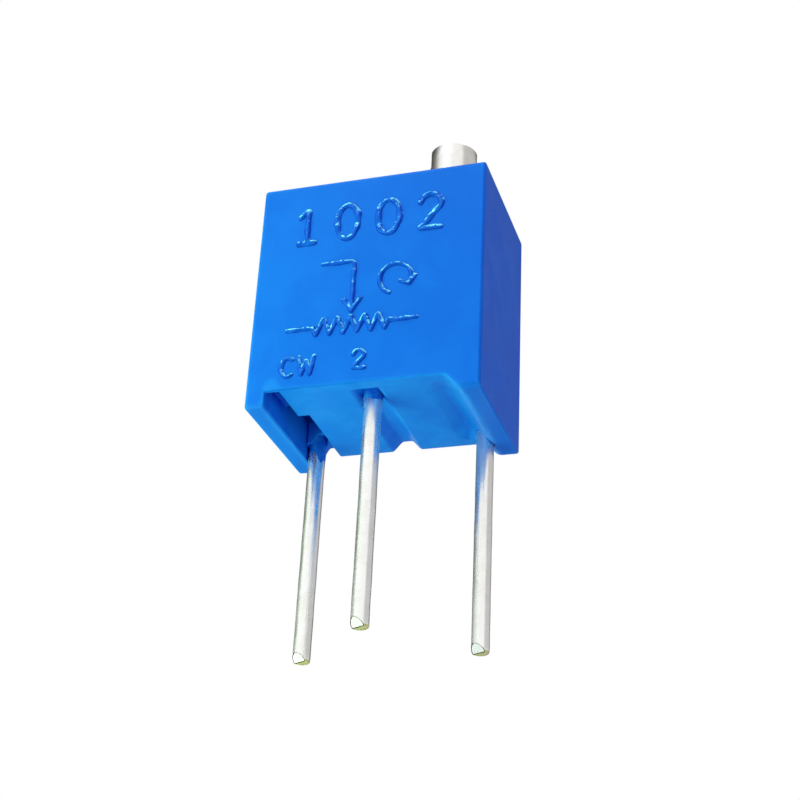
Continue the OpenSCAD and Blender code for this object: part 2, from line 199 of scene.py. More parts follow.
# %% [markdown]
# ## Cards for the metal to mirror
#
# A photographer stands dark cards beside shiny metal on a white table, just out of view.
# They give it the grey rims without which it would melt into the background. These cards
# only show in reflections. They stand in three tiers: one above the part, one below it,
# and one near the floor, which the wires mirror when they are seen from above.

# %% Cards
def stage_sheet(name, points, faces):
    """A sheet that is part of the studio and not of the object."""
    mesh = bpy.data.meshes.new(name)
    mesh.from_pydata(points, [], faces)
    sheet = add_object(name, mesh)
    return sheet


def curved_card(name, turns, tips, grey, radius=90, steps=12):
    """A curved card that only reflections show. Its turns are degrees to the right of the
    camera, seen from the part, and its tips are degrees above the part."""
    start = math.atan2(back.y, back.x)
    points = []
    for tip in tips:
        for i in range(steps + 1):
            angle = start + math.radians(turns[0] + (turns[1] - turns[0]) * i / steps)
            points.append((camera_aim + radius * Vector((
                math.cos(angle), math.sin(angle), math.tan(math.radians(tip))))) * MM)
    card = stage_sheet(name, points, [(i, i + 1, i + steps + 2, i + steps + 1)
                                      for i in range(steps)])
    material = bpy.data.materials.new(name)
    material.use_nodes = True
    material.node_tree.nodes.clear()
    glow = material.node_tree.nodes.new("ShaderNodeEmission")
    glow.inputs["Color"].default_value = (grey, grey, grey, 1)
    out = material.node_tree.nodes.new("ShaderNodeOutputMaterial")
    material.node_tree.links.new(glow.outputs[0], out.inputs["Surface"])
    card.data.materials.append(material)
    card.visible_camera = card.visible_diffuse = card.visible_shadow = False
    card.visible_transmission = False


cards = [((-180, -132), 0.09), ((-132, -112), 0.11), ((-112, -100), 0.19), ((-100, -90), 0.38),
         ((-90, -81), 0.6), ((42, 128), 0.56), ((128, 180), 0.2)]
for i, (turns, grey) in enumerate(cards):
    curved_card(f"card_{i}_high", turns, (4 if turns[0] > 0 else 12, 58), grey)
    curved_card(f"card_{i}_low", turns, (-26, -4), grey)
    curved_card(f"card_{i}_near_floor", turns, (-57, -26), 0.2 + 0.6 * grey, radius=28)
print("cards:", 3 * len(cards))

# %% [markdown]
# ## The floor
#
# The floor lies far below, because the camera looks up at the part. It is a plain pale
# sheet that takes the part's shadow. Part of its white is a glow that only the camera and
# reflections see, so that it ends in the same white as the background and adds no light.

# %% Floor
floor_depth, floor_half = 45 * MM, 450 * MM
floor_colour, camera_glow, mirror_glow = (0.84, 0.9, 0.76, 1), 0.7, 0.5
floor = stage_sheet("floor", [(x * floor_half, y * floor_half, 0) for x, y in
                              ((-1, -1), (1, -1), (1, 1), (-1, 1))], [(0, 1, 2, 3)])
floor.matrix_world = Matrix.Translation((0, 0, -floor_depth))
floor_white = bpy.data.materials.new("floor_white")
floor_white.use_nodes = True
floor_tree = floor_white.node_tree
floor_shader = floor_tree.nodes["Principled BSDF"]
for socket, value in (("Base Color", floor_colour), ("Roughness", 0.9),
                      ("Specular IOR Level", 0), ("Emission Strength", 1)):
    floor_shader.inputs[socket].default_value = value
floor_rays = floor_tree.nodes.new("ShaderNodeLightPath").outputs
floor_tree.links.new(math_node(
    floor_tree, "MAXIMUM",
    math_node(floor_tree, "MULTIPLY", floor_rays["Is Camera Ray"], camera_glow),
    math_node(floor_tree, "MULTIPLY", floor_rays["Is Glossy Ray"], mirror_glow)),
    floor_shader.inputs["Emission Color"])
floor.data.materials.append(floor_white)
print("floor", floor_depth / MM, "mm below the board")


# %% [markdown]
# ## Shader node groups
#
# A finish is more than a colour. Moulded plastic has faint clouds of colour and a fine
# grain. On top of these, the edges get a painted highlight and the hollows painted shade.
# Each of these effects is a node group with named sockets. A group gives out only colours,
# masks and heights, and the Principled shader stays in the material itself. Pictures of
# real surfaces could do the same, but nodes stay sharp at any distance. All of them work
# in the object's own coordinates, in millimetres, so that a grain has its real size on
# every piece.

# %% Helpers for node groups
def new_group(name, ins, outs):
    """An empty shader node group. ins maps a socket name to its kind and value."""
    group = bpy.data.node_groups.new(name, "ShaderNodeTree")
    for socket, (kind, value) in ins.items():
        made = group.interface.new_socket(name=socket, in_out="INPUT", socket_type=kind)
        made.default_value = value
    for socket, kind in outs.items():
        group.interface.new_socket(name=socket, in_out="OUTPUT", socket_type=kind)
    return group, group.nodes.new("NodeGroupInput"), group.nodes.new("NodeGroupOutput")


def add(tree, kind, **values):
    """A node with its plain settings, and with its input sockets set by place or name."""
    node = tree.nodes.new(kind)
    for key, value in values.items():
        if hasattr(node, key):
            setattr(node, key, value)
        else:
            node.inputs[key.replace("_", " ")].default_value = value
    return node


def millimetres(tree):
    """The object's own coordinates, in millimetres."""
    place = tree.nodes.new("ShaderNodeTexCoord")
    grow = add(tree, "ShaderNodeVectorMath", operation="SCALE", Scale=1 / MM)
    tree.links.new(place.outputs["Object"], grow.inputs[0])
    return grow.outputs[0]


def noise_of_size(tree, place, size, **values):
    """A noise texture whose blobs are about that many millimetres wide."""
    texture = add(tree, "ShaderNodeTexNoise", **values)
    tree.links.new(place, texture.inputs["Vector"])
    tree.links.new(math_node(tree, "DIVIDE", 1.0, size), texture.inputs["Scale"])
    return texture.outputs["Fac"]


# %% Helpers that mix and spread values
def mix_colours(tree, mask, first, second):
    """Blends two colours by a mask. Each colour is a value or another node's output."""
    node = tree.nodes.new("ShaderNodeMix")
    node.data_type = "RGBA"
    tree.links.new(mask, node.inputs["Factor"])
    for socket, value in zip((node.inputs[6], node.inputs[7]), (first, second)):
        if isinstance(value, tuple):
            socket.default_value = value
        else:
            tree.links.new(value, socket)
    return node.outputs[2]


def spread(tree, value, low, high, out_low=0.0, out_high=1.0):
    """Maps a value from one range to another, smoothly and without overshoot."""
    node = add(tree, "ShaderNodeMapRange", interpolation_type="SMOOTHSTEP")
    for socket, number in zip(list(node.inputs)[1:5], (low, high, out_low, out_high)):
        if isinstance(number, (int, float)):
            socket.default_value = number
        else:
            tree.links.new(number, socket)
    tree.links.new(value, node.inputs[0])
    return node.outputs[0]


# %% [markdown]
# ### Clouds and grain
#
# No moulding has exactly one colour: the pigment and the flow of the plastic leave soft
# patches. On top of that the mould's own fine grain prints through, with a slower wave
# where the plastic shrank. Both come from noise, at two or three sizes.

# %% Cloudy colour: soft patches between two colours
cloudy, gin, gout = new_group(
    "cloudy_colour",
    {"Colour": ("NodeSocketColor", (0.8, 0.8, 0.8, 1)),
     "Patch Colour": ("NodeSocketColor", (0.7, 0.7, 0.7, 1)),
     "Patch Size": ("NodeSocketFloat", 1.0), "Amount": ("NodeSocketFloat", 0.5)},
    {"Colour": "NodeSocketColor"})
clouds = noise_of_size(cloudy, millimetres(cloudy), gin.outputs["Patch Size"], Detail=3.0,
                       Roughness=0.55, Distortion=0.6)
patches = spread(cloudy, clouds, 0.38, 0.66)
cloud_mask = math_node(cloudy, "MULTIPLY", patches, gin.outputs["Amount"])
cloudy.links.new(mix_colours(cloudy, cloud_mask, gin.outputs["Colour"],
                             gin.outputs["Patch Colour"]), gout.inputs["Colour"])

# %% Fine grain: a height for the bump and a roughness that varies with it
grain, gin, gout = new_group(
    "fine_grain",
    {"Grain Size": ("NodeSocketFloat", 0.05), "Wave Size": ("NodeSocketFloat", 0.8),
     "Smoothest": ("NodeSocketFloat", 0.3), "Roughest": ("NodeSocketFloat", 0.5),
     "Stretch": ("NodeSocketVector", (1, 1, 1))},
    {"Height": "NodeSocketFloat", "Roughness": "NodeSocketFloat"})
stretched = add(grain, "ShaderNodeVectorMath", operation="MULTIPLY")
grain.links.new(millimetres(grain), stretched.inputs[0])
grain.links.new(gin.outputs["Stretch"], stretched.inputs[1])
specks, waves = (noise_of_size(grain, stretched.outputs[0], gin.outputs[size], Detail=2.0,
                               Roughness=rough)
                 for size, rough in (("Grain Size", 0.5), ("Wave Size", 0.45)))
grain.links.new(math_node(grain, "ADD", specks, math_node(grain, "MULTIPLY", waves, 0.8)),
                gout.inputs["Height"])
blend_of_both = math_node(grain, "MULTIPLY", math_node(grain, "ADD", specks, waves), 0.5)
grain.links.new(spread(grain, blend_of_both, 0.36, 0.64, gin.outputs["Smoothest"],
                       gin.outputs["Roughest"]), gout.inputs["Roughness"])

# %% [markdown]
# ### Painted highlights on edges, painted shade in hollows
#
# The outer edges of a moulding are painted paler, as a painted highlight. A hollow is
# painted deeper in colour, as painted shade, because light only leaves it after several
# bounces. Ambient occlusion finds both: looked at from the inside of the solid it marks
# the edges, and from the outside the hollows.

# %% Painted light: masks of the outer edges, for painted highlights, and of the hollows, for painted shade
painted_light_masks, gin, gout = new_group(
    "painted_edge_highlight_and_hollow_shade",
    {"Edge Width": ("NodeSocketFloat", 0.08), "Hollow Width": ("NodeSocketFloat", 0.5)},
    {"Edge": "NodeSocketFloat", "Hollow": "NodeSocketFloat"})
for name, size, inside, low, high in (("Edge", "Edge Width", True, 0.12, 0.5),
                                      ("Hollow", "Hollow Width", False, 0.4, 0.9)):
    shade = add(painted_light_masks, "ShaderNodeAmbientOcclusion", inside=inside, only_local=inside, samples=8)
    painted_light_masks.links.new(math_node(painted_light_masks, "MULTIPLY", gin.outputs[size], MM), shade.inputs["Distance"])
    open_share = shade.outputs["AO"]
    painted_light_masks.links.new(spread(painted_light_masks, math_node(painted_light_masks, "SUBTRACT", 1.0, open_share), low, high),
                   gout.inputs[name])

# %% [markdown]
# ### Turned lines and steep sides
#
# A lathe leaves fine rings on the screw, at no two distances quite alike, so they come from
# noise in one direction only. The raised marks need masks too: their flanks are painted
# deeper than their tops, as painted shade, and where a flank faces up, small bright flecks
# are painted on as highlights.

# %% Turned lines: the rings that a lathe leaves round a vertical axis
turned, gin, gout = new_group(
    "turned_lines",
    {"Axis": ("NodeSocketVector", (0, 0, 0)), "Pitch": ("NodeSocketFloat", 0.04)},
    {"Height": "NodeSocketFloat"})
centred = add(turned, "ShaderNodeVectorMath", operation="SUBTRACT")
turned.links.new(millimetres(turned), centred.inputs[0])
turned.links.new(gin.outputs["Axis"], centred.inputs[1])
apart = add(turned, "ShaderNodeSeparateXYZ")
turned.links.new(centred.outputs[0], apart.inputs[0])
across = math_node(turned, "SQRT", math_node(turned, "ADD", math_node(
    turned, "MULTIPLY", apart.outputs[0], apart.outputs[0]), math_node(
    turned, "MULTIPLY", apart.outputs[1], apart.outputs[1])), 0.0)
travel = math_node(turned, "ADD", across, apart.outputs[2])
line_noise = add(turned, "ShaderNodeTexNoise", noise_dimensions="1D", Detail=3.0)
turned.links.new(travel, line_noise.inputs["W"])
turned.links.new(math_node(turned, "DIVIDE", 1.0, gin.outputs["Pitch"]),
                 line_noise.inputs["Scale"])
turned.links.new(line_noise.outputs["Fac"], gout.inputs["Height"])

# %% Steep sides: a mask of what leans away from an axis, for painted shade, and of flecks where it faces up, for painted highlights
steep, gin, gout = new_group(
    "painted_flank_shade_and_flecks", {"Axis": ("NodeSocketVector", (0, 1, 0)),
                    "Fleck Size": ("NodeSocketFloat", 0.11)},
    {"Steep": "NodeSocketFloat", "Painted Flecks": "NodeSocketFloat"})
facing_way = add(steep, "ShaderNodeVectorMath", operation="DOT_PRODUCT")
surface = steep.nodes.new("ShaderNodeTexCoord").outputs["Normal"]
steep.links.new(surface, facing_way.inputs[0])
steep.links.new(gin.outputs["Axis"], facing_way.inputs[1])
level_share = math_node(steep, "ABSOLUTE", facing_way.outputs["Value"], 0.0)
steep.links.new(spread(steep, math_node(steep, "SUBTRACT", 1.0, level_share), 0.02, 0.3),
                gout.inputs["Steep"])
upward = add(steep, "ShaderNodeSeparateXYZ")
steep.links.new(surface, upward.inputs[0])
flecks = noise_of_size(steep, millimetres(steep), gin.outputs["Fleck Size"], Detail=1.0)
# Painted highlights: flecks where the surface faces up.
steep.links.new(math_node(steep, "MULTIPLY", spread(steep, upward.outputs[2], 0.06, 0.24),
                          spread(steep, flecks, 0.44, 0.54)), gout.inputs["Painted Flecks"])
print("node groups:", [group.name for group in bpy.data.node_groups])


# %% [markdown]
# ## Finishes
#
# Every finish uses the same recipe: a cloudy colour, with a painted highlight on the edges
# and painted shade in the hollows mixed over it, a roughness that varies with the grain,
# and the grain again as a bump.
# Only the values differ, so one function builds them all, and each finish then reads as a
# short list of what makes it special.

# %% The recipe for a finish
def place_group(tree, group, **values):
    """A node that holds a group, with its input sockets set by name."""
    node = tree.nodes.new("ShaderNodeGroup")
    node.node_tree = group
    for key, value in values.items():
        node.inputs[key.replace("_", " ")].default_value = value
    return node


def colour(red, green, blue):
    """A colour from the 0-255 values of a picture, as the linear values that a shader needs."""
    def linear(value):
        value /= 255
        return value / 12.92 if value <= 0.04045 else ((value + 0.055) / 1.055) ** 2.4
    return (linear(red), linear(green), linear(blue), 1)


def make_finish(name, base, patch, patch_mm=1.0, patch_amount=0.5, edge=None, edge_highlight_amount=0.3,
                hollow=None, hollow_shade_amount=0.5, edge_highlight_mm=0.08, hollow_shade_mm=0.5, rough=(0.3, 0.5),
                grain_mm=0.05, wave_mm=0.8, bump=0.2, stretch=(1, 1, 1), metallic=0.0,
                bump_mm=0.01, specular=0.5, tint=None, axis=None, flank=None, fleck=None):
    """A material with its clouds, painted edge highlights, painted hollow shade, grain and
    bump. An axis adds turned lines round it. A flank colour, which is painted shade, and a
    fleck colour, which is painted highlights, are for the raised marks."""
    material = bpy.data.materials.new(name)
    material.use_nodes = True
    tree = material.node_tree
    shader = tree.nodes["Principled BSDF"]
    shader.inputs["Metallic"].default_value = metallic
    shader.inputs["Specular IOR Level"].default_value = specular
    if tint:
        shader.inputs["Specular Tint"].default_value = tint
    clouds = place_group(tree, cloudy, Colour=base, Patch_Colour=patch, Patch_Size=patch_mm,
                         Amount=patch_amount)
    shown = clouds.outputs["Colour"]
    if edge or hollow:
        masks = place_group(tree, painted_light_masks, Edge_Width=edge_highlight_mm, Hollow_Width=hollow_shade_mm)
        # The edge colour is a painted highlight and the hollow colour is painted shade.
        for mask, paint, amount in (("Hollow", hollow, hollow_shade_amount),
                                    ("Edge", edge, edge_highlight_amount)):
            if paint:
                part = math_node(tree, "MULTIPLY", masks.outputs[mask], amount)
                shown = mix_colours(tree, part, shown, paint)
    # On the raised marks, the flank colour is painted shade on the steep sides, and the fleck
    # colour is painted highlights where they face up.
    if flank:
        sides = place_group(tree, steep)
        shown = mix_colours(tree, sides.outputs["Steep"], shown, flank)
        shown = mix_colours(tree, sides.outputs["Painted Flecks"], shown, fleck)
    tree.links.new(shown, shader.inputs["Base Color"])
    fine = place_group(tree, grain, Grain_Size=grain_mm, Wave_Size=wave_mm,
                       Smoothest=rough[0], Roughest=rough[1], Stretch=stretch)
    tree.links.new(fine.outputs["Roughness"], shader.inputs["Roughness"])
    height = fine.outputs["Height"]
    if axis:
        rings = place_group(tree, turned, Axis=axis)
        height = math_node(tree, "ADD", height, rings.outputs["Height"])
    relief = add(tree, "ShaderNodeBump", Strength=bump, Distance=bump_mm * MM)
    tree.links.new(height, relief.inputs["Height"])
    tree.links.new(relief.outputs["Normal"], shader.inputs["Normal"])
    return material


# %% [markdown]
# ### Blue plastics and resin
#
# Case, base and marks are the same blue plastic, but they don't look the same. The case
# is even. The base is wavier and catches more light from below, and its blue is also
# painted lighter, as if lit from below. Deep in the pocket the blue is painted much
# darker, as shade. The marks are glossier and painted a little darker, with painted shade
# on their flanks and painted highlights as bright flecks. The resin that seals the wires
# is the glossiest. Where these finishes have an edge colour, it is a painted highlight,
# and a hollow colour is painted shade.

# %% The blue plastics and the resin
# The case's edge colour is a painted highlight and its hollow colour is painted shade.
case_blue = make_finish(
    "case_blue", colour(8, 116, 226), colour(15, 127, 234), patch_mm=1.6, patch_amount=0.6,
    edge=colour(40, 166, 248), edge_highlight_amount=0.34, edge_highlight_mm=0.22,
    hollow=colour(0, 34, 160), hollow_shade_amount=0.75, hollow_shade_mm=0.45,
    rough=(0.32, 0.46), grain_mm=0.06, wave_mm=1.4, bump=0.14, specular=0.12)
# Painted lighter and more cyan than the case's blue, as if lit from below; its hollow colour is
# painted shade.
underside_blue_painted_lit = make_finish(
    "underside_blue_painted_lit", colour(16, 132, 236), colour(28, 145, 242), patch_mm=0.9, patch_amount=0.7,
    hollow=colour(0, 22, 196), hollow_shade_amount=0.86, hollow_shade_mm=0.7,
    rough=(0.3, 0.46), grain_mm=0.08, wave_mm=0.7, bump=0.32, specular=0.08)
# A darker copy of the base's blue: painted shade deep in the pocket. Its hollow colour adds more
# painted shade.
pocket_blue_painted_shade = make_finish(
    "pocket_blue_painted_shade", colour(3, 58, 168), colour(6, 74, 186), patch_mm=0.4, patch_amount=0.7,
    hollow=colour(0, 10, 96), hollow_shade_amount=0.95, hollow_shade_mm=0.7,
    rough=(0.2, 0.4), grain_mm=0.08, wave_mm=0.4, bump=0.3, specular=0.1)
# Painted a little darker than the case, as shade. The flank colour is painted shade and the fleck
# colour is painted highlights.
mark_blue_with_painted_light = make_finish(
    "mark_blue_with_painted_light", colour(2, 94, 214), colour(8, 112, 226), patch_mm=0.3, patch_amount=0.7,
    flank=colour(0, 68, 200), fleck=colour(150, 255, 250), rough=(0.12, 0.22), grain_mm=0.09,
    wave_mm=0.2, bump=1.0, bump_mm=0.03, specular=0.4, tint=(0.2, 1, 0.95, 1))
# The resin's hollow colour is painted shade.
resin_blue = make_finish(
    "resin_blue", colour(14, 108, 216), colour(50, 165, 240), patch_mm=0.25, patch_amount=0.6,
    hollow=colour(0, 30, 120), hollow_shade_amount=0.8, hollow_shade_mm=0.3,
    rough=(0.08, 0.2), grain_mm=0.05, wave_mm=0.3, bump=0.25, specular=0.4)

# %% [markdown]
# ### Metals
#
# The wires are tinned copper: pale, slightly dull, and streaked along the wire. Their cut
# ends need three finishes more. The sheared facet is pale tin, given a near-white, mostly
# matte colour as a painted reflection of the white it would mirror. Beside it is the bare
# copper. Round it runs a painted dark rim, in place of the dark edge that the end mirrors.
# The screw is nickel-plated brass with turned lines, with painted highlights on its edges
# and painted shade in its hollows. Inside there are fired silver ink, solder and a bronze
# spring, whose edges are painted paler as highlights.

# %% The metals
tinned_wire = make_finish(
    "tinned_wire", colour(252, 251, 247), colour(242, 240, 232), patch_mm=0.5,
    patch_amount=0.7, rough=(0.22, 0.32), grain_mm=0.08, wave_mm=0.35, bump=0.05,
    stretch=(1, 1, 0.2), metallic=0.92, tint=(0.84, 0.82, 0.78, 1))
# The sheared facet: pale tin, given a near-white, mostly matte colour as a painted reflection of
# the white it would mirror.
sheared_tin_painted_bright = make_finish(
    "sheared_tin_painted_bright", colour(255, 238, 240), colour(246, 230, 228), patch_mm=0.15,
    rough=(0.5, 0.65), grain_mm=0.03, wave_mm=0.1, bump=0.05, metallic=0.2)
cut_copper = make_finish(
    "cut_copper", colour(255, 248, 172), colour(214, 206, 108), patch_mm=0.12,
    patch_amount=0.8, rough=(0.25, 0.4), grain_mm=0.03, wave_mm=0.1, bump=0.2,
    stretch=(1, 6, 1), metallic=0.25)
# A painted dark rim, standing in for the dark edge that the sheared end mirrors.
painted_dark_rim = make_finish(
    "painted_dark_rim", colour(104, 100, 72), colour(70, 66, 46), patch_mm=0.15, patch_amount=0.8,
    rough=(0.3, 0.45), grain_mm=0.03, wave_mm=0.1, bump=0.2, metallic=0.7)
# The nickel's edge colour is a painted highlight and its hollow colour is painted shade.
nickel = make_finish(
    "nickel", colour(246, 244, 240), colour(234, 231, 224), patch_mm=0.4, patch_amount=0.6,
    edge=colour(250, 246, 230), edge_highlight_amount=0.4, edge_highlight_mm=0.03,
    hollow=colour(96, 84, 72), hollow_shade_amount=0.8, hollow_shade_mm=0.25,
    rough=(0.2, 0.27), grain_mm=0.06, wave_mm=0.4, bump=0.05, metallic=1.0,
    tint=(0.7, 0.66, 0.6, 1), axis=(screw_x, screw_y, 0))
silver_ink = make_finish(
    "silver_ink", colour(206, 205, 198), colour(176, 172, 160), patch_mm=0.3,
    rough=(0.4, 0.6), grain_mm=0.03, wave_mm=0.2, bump=0.6, metallic=0.85)
solder = make_finish(
    "solder", colour(200, 201, 204), colour(168, 168, 170), patch_mm=0.2,
    rough=(0.18, 0.4), grain_mm=0.06, wave_mm=0.2, bump=0.5, metallic=1.0)
# The spring's edge colour is a painted highlight.
spring_bronze = make_finish(
    "spring_bronze", colour(220, 178, 110), colour(196, 146, 84), patch_mm=0.3,
    edge=colour(240, 214, 160), edge_highlight_amount=0.5, edge_highlight_mm=0.03,
    rough=(0.2, 0.36), grain_mm=0.03, wave_mm=0.3, bump=0.3, stretch=(1, 1, 0.1),
    metallic=1.0)

# %% [markdown]
# ### Ceramic, ink, wheel and rubber
#
# These are all inside, where only a cut through the part would show them. They get real
# finishes too, so that such a cut looks right: a dry, matte ceramic, a dark fired glaze, a
# cream-coloured moulding and a black rubber.

# %% The other finishes
# Edge colours here are painted highlights, and the wheel's hollow colour is painted shade.
ceramic = make_finish(
    "ceramic", colour(240, 238, 232), colour(226, 222, 212), patch_mm=0.5,
    edge=colour(250, 250, 246), edge_highlight_amount=0.4, rough=(0.55, 0.75), grain_mm=0.03,
    wave_mm=0.3, bump=0.5)
resistive_ink = make_finish(
    "resistive_ink", colour(58, 58, 62), colour(38, 38, 40), patch_mm=0.2,
    rough=(0.3, 0.5), grain_mm=0.025, wave_mm=0.2, bump=0.6)
rotor_plastic = make_finish(
    "rotor_plastic", colour(226, 222, 206), colour(208, 202, 182), patch_mm=0.6,
    edge=colour(244, 242, 232), edge_highlight_amount=0.5, hollow=colour(150, 140, 116),
    rough=(0.42, 0.6), grain_mm=0.04, wave_mm=0.4, bump=0.35)
seal_rubber = make_finish(
    "seal_rubber", colour(38, 38, 40), colour(52, 52, 54), patch_mm=0.2,
    rough=(0.5, 0.7), grain_mm=0.03, wave_mm=0.2, bump=0.4)
print("finishes:", len(bpy.data.materials))


# %% [markdown]
# ## Making solids
#
# The case is made as a toolmaker would cut its mould: sharp blocks are joined and cut
# first, and every edge is then rounded at once. Booleans with the exact solver keep the
# solid closed, and one weighted bevel rounds the long outer edges more than the small
# ones under the part. Round things are rings of points, joined ring by ring. These
# helpers hold the steps.

# %% Helpers for solids
def new_object(name, bm):
    """A scene object from a bmesh, in whatever unit the bmesh is in."""
    bmesh.ops.recalc_face_normals(bm, faces=bm.faces)
    mesh = bpy.data.meshes.new(name)
    bm.to_mesh(mesh)
    bm.free()
    return add_object(name, mesh)


def join_rings(bm, rings):
    """Faces from each ring of points to the next, and a lid on both ends."""
    for one, two in zip(rings, rings[1:]):
        for k in range(len(one)):
            after = (k + 1) % len(one)
            bm.faces.new((one[k], one[after], two[after], two[k]))
    if rings[0] != rings[-1]:
        bm.faces.new(reversed(rings[0]))
        bm.faces.new(rings[-1])


def prism(name, outline, start, end, axis="Y"):
    """A closed prism. The outline is in XZ for a prism along Y, and in XY along Z."""
    def point(a, b, height):
        return (a, height, b) if axis == "Y" else (a, b, height)
    bm = bmesh.new()
    join_rings(bm, [[bm.verts.new(point(a, b, height)) for a, b in outline]
                    for height in (start, end)])
    return new_object(name, bm)


def block(name, low, high):
    """A box between two corners."""
    outline = [(low[0], low[1]), (high[0], low[1]), (high[0], high[1]), (low[0], high[1])]
    return prism(name, outline, low[2], high[2], axis="Z")


def circle(centre, radius, steps=64):
    """Points on a circle."""
    return [(centre[0] + radius * math.cos(math.tau * i / steps),
             centre[1] + radius * math.sin(math.tau * i / steps)) for i in range(steps)]


# %% Helpers that change a solid
def settle(piece):
    """Turns the piece's modifiers into its real mesh."""
    graph = bpy.context.evaluated_depsgraph_get()
    mesh = bpy.data.meshes.new_from_object(piece.evaluated_get(graph))
    old = piece.data
    piece.modifiers.clear()
    piece.data = mesh
    bpy.data.meshes.remove(old)


def combine(piece, operation, *tools):
    """Cuts, joins or intersects the piece with each tool, and throws the tools away."""
    for tool in tools:
        step = piece.modifiers.new("step", "BOOLEAN")
        step.operation, step.object, step.solver = operation, tool, "EXACT"
        settle(piece)
        mesh = tool.data
        bpy.data.objects.remove(tool)
        bpy.data.meshes.remove(mesh)


def reshape(piece, change):
    """Lets change work on the piece's mesh as a bmesh."""
    bm = bmesh.new()
    bm.from_mesh(piece.data)
    change(bm)
    bm.to_mesh(piece.data)
    bm.free()


def clean(piece, flat_degrees=0.5):
    """Merges what the booleans split: double points and edges across flat faces."""
    def merge(bm):
        bmesh.ops.remove_doubles(bm, verts=bm.verts, dist=1e-4)
        bmesh.ops.dissolve_limit(bm, angle_limit=math.radians(flat_degrees), verts=bm.verts,
                                 edges=bm.edges)
    reshape(piece, merge)


# %% The last step for every piece
def finish_piece(piece, finish, body, slot, *replaced, sharp_degrees=35, weighted=True):
    """Shrinks a piece to metres, shades it, gives it its finish and puts it on its body."""
    piece.data.transform(Matrix.Scale(MM, 4))
    piece.data.shade_smooth()
    piece.data.set_sharp_from_angle(angle=math.radians(sharp_degrees))
    if weighted:
        even = piece.modifiers.new("even_shading", "WEIGHTED_NORMAL")
        even.keep_sharp, even.weight = True, 80
        settle(piece)
    piece.data.materials.clear()
    piece.data.materials.append(finish)
    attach(piece, body)
    if replaced:
        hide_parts(*replaced)
    print(piece.name, len(piece.data.polygons), "faces")
    return piece


# %% [markdown]
# ## The case and its base
#
# Under the case two feet hold it off the board. Between them the underside is cut by a
# flared groove round the middle wire, a deep slot and pocket beside the left foot, and a
# channel beside the right one that deepens and ends softly. Case and base are cast
# together there, so both are cut from one rounded solid, and their surfaces run on from
# one to the other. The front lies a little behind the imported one, so that the raised
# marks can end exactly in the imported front.

# %% Sizes under the case, in millimetres
stand_off = 0.45
foot_inside = 2.775
foot_slope = 0.4
outer_wire = Vector((2.54, 2.54))
groove_front, groove_mouth, groove_top, groove_rise = 0.5, 0.42, 0.155, 0.3
slot_lip, slot_width, slot_rise = 0.1, 0.35, 0.35
pocket_width, pocket_length, pocket_rise, pocket_back = 0.68, 1.73, 0.72, 2.22
notch_left, notch_top_left, notch_top_right = -2.595, -2.42, -2.175
trough_edge, trough_floor = 1.66, (1.97, 2.12)
trough_rises = ((-0.85, -0.04), (-0.55, 0.07), (-0.05, 0.15), (0.6, 0.2), (1.4, 0.23),
                (2.2, 0.24), (2.7, 0.2), (2.95, -0.04))
trough_below, trough_lip = 0.2, 0.02
mark_height = 0.06
top_wall = 0.95
bore_radius = 0.74
boss_radius, boss_length = 0.5, 1.39
beyond = 1.0

ceiling = body_high.z - top_wall
slope_top = foot_inside - foot_slope
pocket_right = pocket_width - foot_inside
face_y = body_low.y + mark_height
print("feet", stand_off, "mm high, wall over the screw", top_wall, "mm")


# %% The rounded solid that case and base share
def flared(name, left, top_left, top_right, right, start):
    """A groove that narrows upwards, from start out through the back."""
    roof = stand_off + groove_rise
    return prism(name, [(left, -beyond), (right, -beyond), (right, stand_off), (top_right, roof),
                        (top_left, roof), (left, stand_off)], start, body_high.y + beyond)


def trough(name):
    """A channel beside the right foot that deepens and ends softly."""
    bm = bmesh.new()
    rings = []
    for y, rise in trough_rises:
        low, top = stand_off - trough_below, stand_off + rise
        outline = [(trough_edge, low), (slope_top, low), (slope_top, stand_off),
                   (trough_floor[1], top), (trough_floor[0], top),
                   (trough_edge, stand_off - trough_lip)]
        rings.append([bm.verts.new((x, y, z)) for x, z in outline])
    join_rings(bm, rings)
    bmesh.ops.triangulate(bm, faces=bm.faces)
    return new_object(name, bm)


shared = block("shared", Vector((body_low.x, face_y, body_low.z)), body_high)
combine(
    shared, "DIFFERENCE",
    prism("channel", [(-foot_inside, -beyond), (foot_inside, -beyond), (foot_inside, 0),
                      (slope_top, stand_off), (-foot_inside, stand_off)],
          body_low.y - beyond, body_high.y + beyond),
    flared("groove", -groove_mouth, -groove_top, groove_top, groove_mouth,
           body_low.y + groove_front),
    block("slot", (-foot_inside, face_y + slot_lip, -beyond),
          (slot_width - foot_inside, pocket_back, stand_off + slot_rise)),
    block("pocket", (-foot_inside, pocket_back - pocket_length, -beyond),
          (pocket_right, pocket_back, stand_off + pocket_rise)),
    flared("notch", notch_left, notch_top_left, notch_top_right, pocket_right, pocket_back),
    trough("trough"),
    prism("bore", circle((screw_x, screw_y), bore_radius, 96), ceiling - 0.1,
          body_high.z + beyond, axis="Z"))
clean(shared)

# %% Rounding its edges
outer_rounding = 0.1
soft_angle = math.radians(25)
foot_share, mouth_share, slope_share, lip_share = 0.7, 0.5, 1.6, 0.55
groove_share, pocket_share, slot_share, trough_share = 0.7, 0.35, 1.0, 0
near = 0.01


